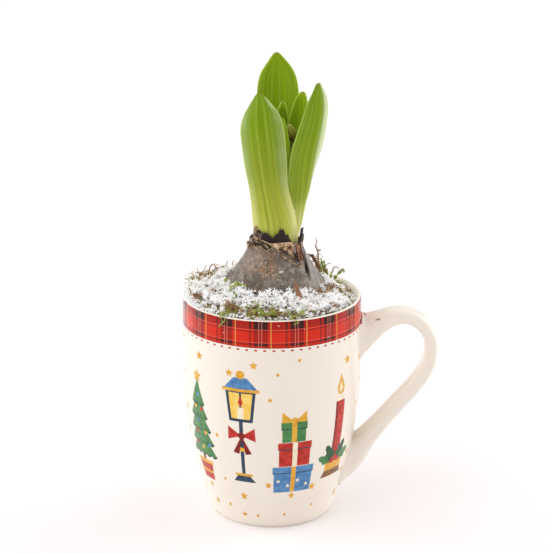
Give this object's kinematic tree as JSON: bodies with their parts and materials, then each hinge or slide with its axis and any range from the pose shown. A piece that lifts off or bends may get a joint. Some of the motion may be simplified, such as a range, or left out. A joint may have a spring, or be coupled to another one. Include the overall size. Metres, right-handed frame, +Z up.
{
  "type": "potted hyacinth",
  "caption": "Forced hyacinth bulb with upright leaves round a closed flower spike, bedded in moss and loose snow in a porcelain mug with a strap handle.",
  "frame": {"origin": "on the mug's axis, in the plane that its foot ring rests on", "axes": "+Z up along the mug's axis; +X towards the handle; -Y towards the viewer of the front leaf"},
  "size_m": [0.1177, 0.0824, 0.2132],
  "materials": {
    "porcelain": "glossy cream-white glaze with a printed tartan band and printed motifs",
    "earth": "moist dark potting compost",
    "root": "cream fleshy roots",
    "tunic": "matte dark grey-brown papery bulb skin",
    "dry_scale": "dry torn brown and black bulb skin",
    "outer_leaf": "smooth waxy green, yellow-green at the foot",
    "inner_leaf": "smooth waxy mid green",
    "floret": "green-brown closed buds",
    "moss": "green and brown wiry moss",
    "snow": "loose white flakes"
  },
  "bodies": {
    "root": {"mug": "porcelain", "soil": "earth", "roots": "root", "bulb": "tunic", "neck_scales": "dry_scale", "leaf_front": "outer_leaf", "leaf_back": "outer_leaf", "leaf_right": "outer_leaf", "leaf_inner_right": "inner_leaf", "leaf_inner_back": "inner_leaf", "leaf_inner_front": "inner_leaf", "leaf_inner_left": "inner_leaf", "flower_spike": "floret", "moss": "moss", "snow": "snow"}
  },
  "joints": []
}
